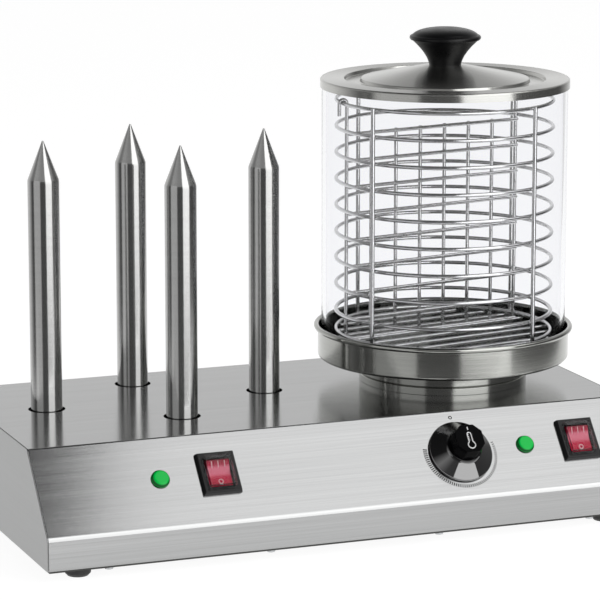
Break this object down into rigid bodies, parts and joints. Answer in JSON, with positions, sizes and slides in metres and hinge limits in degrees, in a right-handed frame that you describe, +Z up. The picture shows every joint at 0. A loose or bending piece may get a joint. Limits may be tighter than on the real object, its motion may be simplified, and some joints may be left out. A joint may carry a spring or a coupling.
{
  "type": "hot dog spike machine",
  "caption": "Stainless steel counter machine with heated spikes, and a steamer with a water bowl, glass cylinder, wire basket and lid, set by rocker switches and a dial.",
  "frame": {"origin": "on the counter, below the middle of the machine's outline", "axes": "+Z up, the control panel faces -Y, the spikes are at -X and the steamer at +X"},
  "size_m": [0.5, 0.2866, 0.3831],
  "materials": {
    "body_steel": "brushed lengthways",
    "base_sheet": "zinc coated",
    "foot_rubber": "matt",
    "fastener_steel": "bright zinc",
    "gland_plastic": "moulded",
    "spike_steel": "turned and polished",
    "heater_metal": "oxidised",
    "bracket_steel": "zinc coated",
    "spun_steel": "spun, with circular grain",
    "clear_glass": "clear, polished",
    "basket_wire": "chromed wire",
    "black_gloss": "glossy",
    "control_body": "moulded",
    "copper": "drawn tube",
    "lamp_green": "translucent lens",
    "switch_black": "semi-gloss",
    "rocker_red": "translucent",
    "cap_clear": "clear flexible cap",
    "blade_brass": "bright",
    "lead_insulation": "silicone insulation"
  },
  "bodies": {
    "housing": {"housing_shell": "body_steel", "side_panel_left": "body_steel", "side_panel_right": "body_steel", "base_plate": "base_sheet", "base_plate_screws": "fastener_steel", "foot_front_left": "foot_rubber", "foot_front_right": "foot_rubber", "foot_rear_left": "foot_rubber", "foot_rear_right": "foot_rubber", "foot_screws": "fastener_steel", "foot_nuts": "fastener_steel", "cable_gland": "gland_plastic", "cable_gland_nut": "gland_plastic", "spike_left": "spike_steel", "spike_rear": "spike_steel", "spike_front": "spike_steel", "spike_right": "spike_steel", "spike_cartridges": "heater_metal", "spike_nuts": "fastener_steel", "spike_carrier": "bracket_steel", "carrier_screws": "fastener_steel", "water_bowl": "spun_steel", "bowl_collar": "spun_steel", "neck_ring": "spun_steel", "heater_ring": "heater_metal", "element_clamp": "bracket_steel", "element_nut": "fastener_steel", "tie_bar": "bracket_steel", "tie_nut": "fastener_steel", "thermostat_body": "control_body", "thermostat_screws": "fastener_steel", "sensor_capillary": "copper", "overheat_cutout": "control_body", "lamp_left_lens": "lamp_green", "lamp_left_body": "control_body", "lamp_right_lens": "lamp_green", "lamp_right_body": "control_body", "lamp_nuts": "control_body", "switch_left_housing": "switch_black", "switch_left_cap": "cap_clear", "switch_right_housing": "switch_black", "switch_right_cap": "cap_clear", "switch_terminals": "blade_brass", "terminal_block": "control_body", "terminal_block_screws": "fastener_steel", "wiring_loom": "lead_insulation"},
    "glass": {"glass_cylinder": "clear_glass"},
    "basket": {"basket_rings": "basket_wire", "basket_posts": "basket_wire", "basket_floor": "basket_wire", "basket_divider": "basket_wire"},
    "lid": {"lid_pan": "spun_steel", "lid_knob": "black_gloss", "lid_knob_washer": "fastener_steel", "lid_knob_screw": "fastener_steel"},
    "dial": {"thermostat_knob": "black_gloss", "thermostat_shaft": "fastener_steel"},
    "rocker_left": {"switch_left_rocker": "rocker_red"},
    "rocker_right": {"switch_right_rocker": "rocker_red"}
  },
  "joints": [
    {"name": "glass_lift", "type": "slide", "parent": "housing", "child": "glass", "axis": [0, 0, 1], "range_m": [0, 0.26]},
    {"name": "basket_lift", "type": "slide", "parent": "glass", "child": "basket", "axis": [0, 0, 1], "range_m": [0, 0.25]},
    {"name": "lid_lift", "type": "slide", "parent": "basket", "child": "lid", "axis": [0, 0, 1], "range_m": [0, 0.15]},
    {"name": "dial_turn", "type": "hinge", "parent": "housing", "child": "dial", "pos_m": [0.096, -0.11736, 0.06505], "axis": [0, 0.7606, -0.6492], "range_deg": [0, 280]},
    {"name": "rocker_left_tip", "type": "hinge", "parent": "housing", "child": "rocker_left", "pos_m": [-0.1055, -0.11562, 0.06554], "axis": [-1, 0, 0], "range_deg": [0, 22]},
    {"name": "rocker_right_tip", "type": "hinge", "parent": "housing", "child": "rocker_right", "pos_m": [0.1985, -0.11562, 0.06554], "axis": [-1, 0, 0], "range_deg": [0, 22]}
  ]
}
